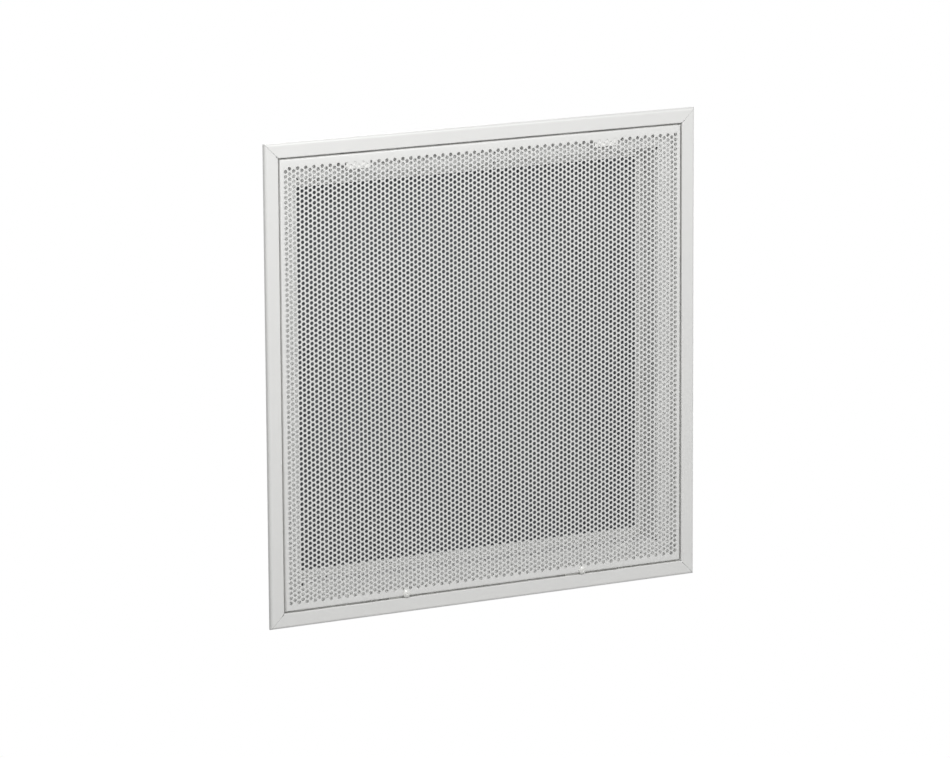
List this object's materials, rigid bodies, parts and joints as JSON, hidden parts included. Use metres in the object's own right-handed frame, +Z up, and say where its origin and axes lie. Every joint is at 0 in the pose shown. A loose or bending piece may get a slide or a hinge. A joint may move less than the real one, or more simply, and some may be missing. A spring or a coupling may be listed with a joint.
{
  "type": "return air filter grille",
  "caption": "Square perforated return air grille: hinged door in a mitred frame, sheet box behind it holding a flat air filter.",
  "frame": {"origin": "middle of the opening, on the plane where the frame's outer rear lips meet the wall or ceiling", "axes": "-Y faces the room, +Y goes into the duct, +Z is up towards the hinge, +X is to the right seen from the room"},
  "size_m": [0.6066, 0.0653, 0.6066],
  "materials": {
    "frame_enamel": "white baked enamel, satin",
    "door_enamel": "white baked enamel on perforated steel, satin",
    "box_enamel": "white enamel on folded sheet steel",
    "zinc_steel": "zinc-plated steel",
    "dark_rivet": "dark blind rivets",
    "mastic": "dark sealant",
    "filter_channel": "pale mill-finish channel",
    "filter_pad": "dark synthetic filter pad",
    "bolt_plastic": "moulded pale grey",
    "button_plastic": "moulded milky white"
  },
  "bodies": {
    "housing": {"frame_top": "frame_enamel", "frame_bottom": "frame_enamel", "frame_left": "frame_enamel", "frame_right": "frame_enamel", "corner_key_top_left": "zinc_steel", "corner_key_top_right": "zinc_steel", "corner_key_bottom_left": "zinc_steel", "corner_key_bottom_right": "zinc_steel", "box_top": "box_enamel", "box_bottom": "box_enamel", "box_left": "box_enamel", "box_right": "box_enamel", "corner_plugs": "mastic", "box_rivets": "zinc_steel", "filter_frame": "filter_channel", "filter_media": "filter_pad", "filter_screen": "zinc_steel", "filter_clips": "zinc_steel", "clip_rivets": "dark_rivet", "hinge_bracket_left": "zinc_steel", "hinge_bracket_right": "zinc_steel", "hinge_pin_left": "zinc_steel", "hinge_pin_right": "zinc_steel", "hinge_rivets": "zinc_steel"},
    "door": {"perforated_door": "door_enamel", "hinge_strap_left": "box_enamel", "hinge_strap_right": "box_enamel", "latch_guide_left": "box_enamel", "latch_guide_right": "box_enamel", "latch_rivets": "zinc_steel"},
    "latch_left": {"latch_bolt_left": "bolt_plastic", "latch_button_left": "button_plastic"},
    "latch_right": {"latch_bolt_right": "bolt_plastic", "latch_button_right": "button_plastic"}
  },
  "joints": [
    {"name": "door_hinge", "type": "hinge", "parent": "housing", "child": "door", "pos_m": [0, -0.0014, 0.28895], "axis": [-1, 0, 0], "range_deg": [0, 95]},
    {"name": "latch_left_slide", "type": "slide", "parent": "door", "child": "latch_left", "axis": [0, 0, -1], "range_m": [0, 0.003]},
    {"name": "latch_right_slide", "type": "slide", "parent": "door", "child": "latch_right", "axis": [0, 0, -1], "range_m": [0, 0.003]}
  ]
}
